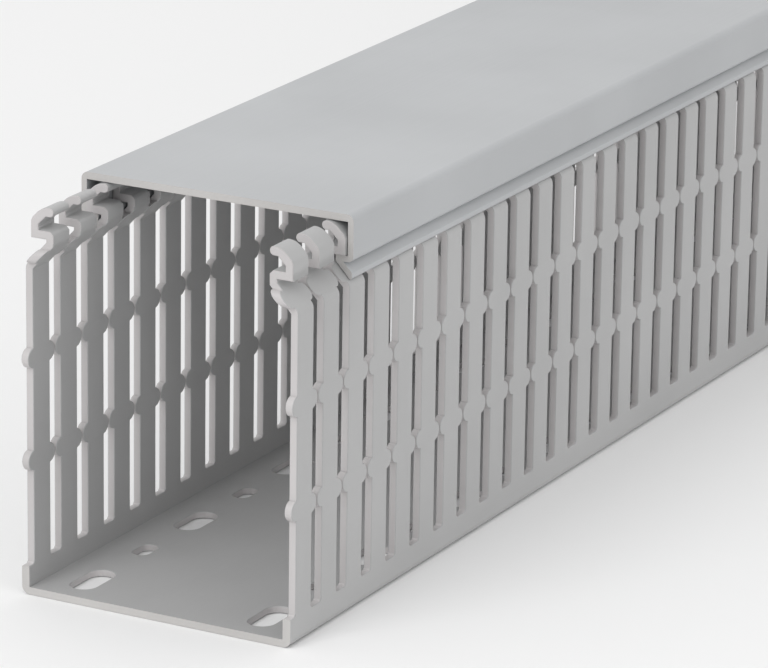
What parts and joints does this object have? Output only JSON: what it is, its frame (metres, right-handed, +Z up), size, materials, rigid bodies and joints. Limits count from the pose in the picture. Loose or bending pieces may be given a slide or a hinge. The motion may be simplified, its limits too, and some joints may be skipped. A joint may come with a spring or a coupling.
{
  "type": "slotted wire duct",
  "caption": "Slotted wiring duct: a U-shaped plastic channel with rows of break-off fingers and a punched floor, and a clip-on cover that slides along it.",
  "frame": {"origin": "on the underside, on the centre line, halfway along the duct", "axes": "+X across the duct to the right, +Y along the duct to the end over which the cover stands out, +Z up from the floor to the cover"},
  "size_m": [0.0754, 1.0285, 0.1],
  "materials": {
    "duct_plastic": "extruded rigid PVC, stone grey, satin matt",
    "cover_plastic": "extruded rigid PVC, stone grey, satin matt"
  },
  "bodies": {
    "duct": {"duct_base": "duct_plastic"},
    "lid": {"cover": "cover_plastic"}
  },
  "joints": [
    {"name": "cover_slide", "type": "slide", "parent": "duct", "child": "lid", "axis": [0, 1, 0], "range_m": [-0.5285, 0.4715]}
  ]
}
